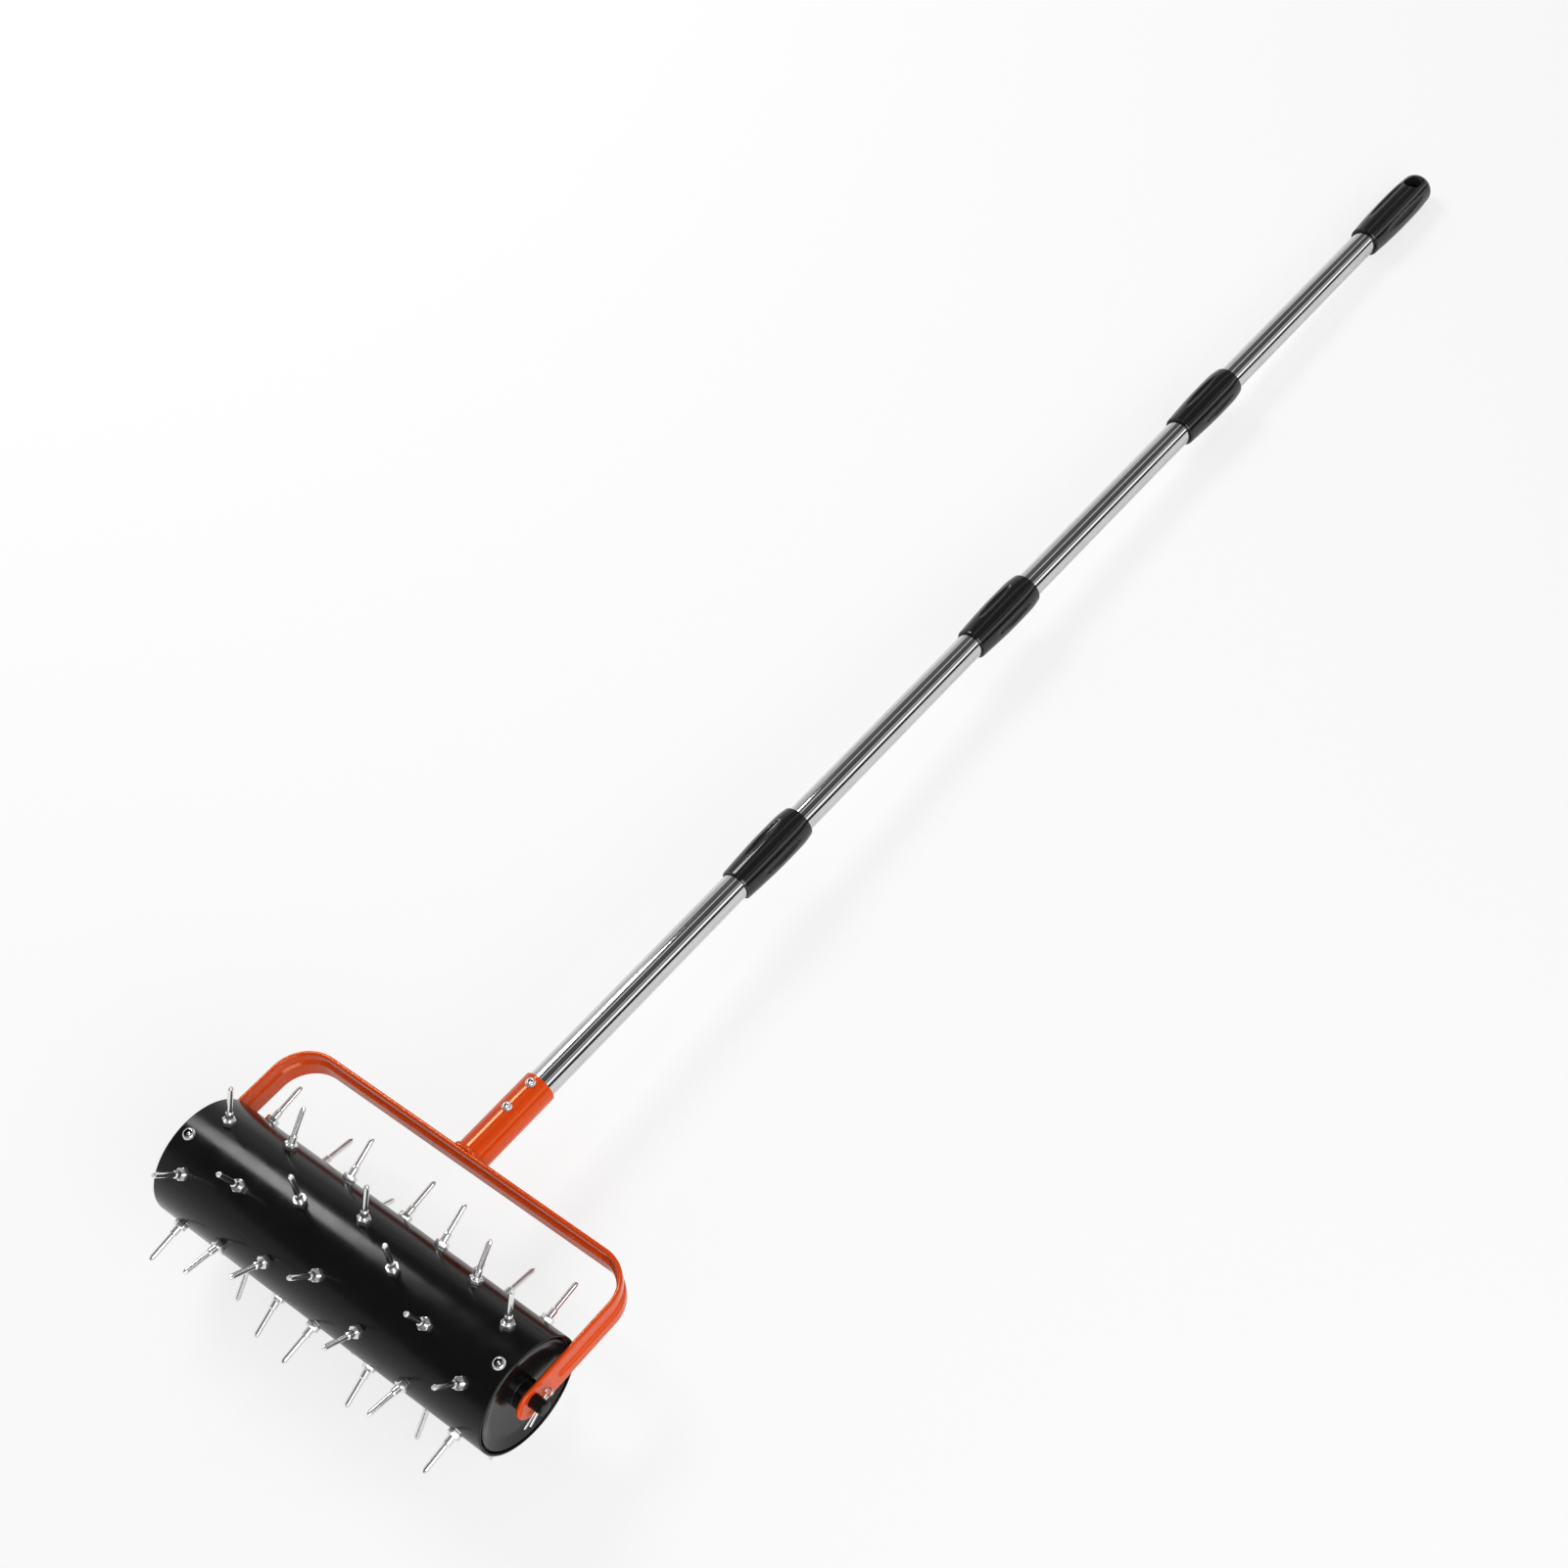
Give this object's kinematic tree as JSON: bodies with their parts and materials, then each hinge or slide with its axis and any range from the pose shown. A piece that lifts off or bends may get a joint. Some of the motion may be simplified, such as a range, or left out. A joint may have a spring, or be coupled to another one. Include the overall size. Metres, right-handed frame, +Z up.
{
  "type": "rolling spike aerator",
  "caption": "Lawn roller with a spiked steel drum turning in a bent flat-bar yoke, pushed by a long sectional tube handle with a fluted grip.",
  "frame": {"origin": "centre of the footprint, on the ground", "axes": "+X along the axle, +Y along the ground from the drum towards the grip, +Z up"},
  "size_m": [0.392, 1.6612, 0.1793],
  "materials": {
    "yoke_paint": "gloss orange",
    "drum_black": "satin black",
    "cap_black": "gloss black",
    "axle_black": "blackened",
    "pin_chrome": "bright",
    "screw_chrome": "bright",
    "spike_chrome": "bright",
    "tube_steel": "polished",
    "connector_black": "gloss black",
    "grip_black": "gloss black"
  },
  "bodies": {
    "frame": {"yoke_frame": "yoke_paint", "handle_socket": "yoke_paint", "axle_rod": "axle_black", "split_pin_left": "pin_chrome", "split_pin_right": "pin_chrome", "socket_screw_upper": "screw_chrome", "socket_screw_lower": "screw_chrome", "handle_tube_1": "tube_steel", "handle_tube_2": "tube_steel", "handle_tube_3": "tube_steel", "handle_tube_4": "tube_steel", "connector_1": "connector_black", "connector_2": "connector_black", "connector_3": "connector_black", "grip": "grip_black"},
    "drum": {"drum_shell": "drum_black", "end_cap_left": "cap_black", "end_cap_right": "cap_black", "spike_1_1": "spike_chrome", "spike_1_2": "spike_chrome", "spike_1_3": "spike_chrome", "spike_1_4": "spike_chrome", "spike_1_5": "spike_chrome", "spike_1_6": "spike_chrome", "spike_2_1": "spike_chrome", "spike_2_2": "spike_chrome", "spike_2_3": "spike_chrome", "spike_2_4": "spike_chrome", "spike_2_5": "spike_chrome", "spike_2_6": "spike_chrome", "spike_3_1": "spike_chrome", "spike_3_2": "spike_chrome", "spike_3_3": "spike_chrome", "spike_3_4": "spike_chrome", "spike_3_5": "spike_chrome", "spike_3_6": "spike_chrome", "spike_4_1": "spike_chrome", "spike_4_2": "spike_chrome", "spike_4_3": "spike_chrome", "spike_4_4": "spike_chrome", "spike_4_5": "spike_chrome", "spike_4_6": "spike_chrome", "spike_5_1": "spike_chrome", "spike_5_2": "spike_chrome", "spike_5_3": "spike_chrome", "spike_5_4": "spike_chrome", "spike_5_5": "spike_chrome", "spike_5_6": "spike_chrome", "spike_6_1": "spike_chrome", "spike_6_2": "spike_chrome", "spike_6_3": "spike_chrome", "spike_6_4": "spike_chrome", "spike_6_5": "spike_chrome", "spike_6_6": "spike_chrome", "spike_7_1": "spike_chrome", "spike_7_2": "spike_chrome", "spike_7_3": "spike_chrome", "spike_7_4": "spike_chrome", "spike_7_5": "spike_chrome", "spike_7_6": "spike_chrome"}
  },
  "joints": [
    {"name": "drum_spin", "type": "hinge", "parent": "frame", "child": "drum", "pos_m": [0, -0.74117, 0.08966], "axis": [1, 0, 0], "continuous": true}
  ]
}
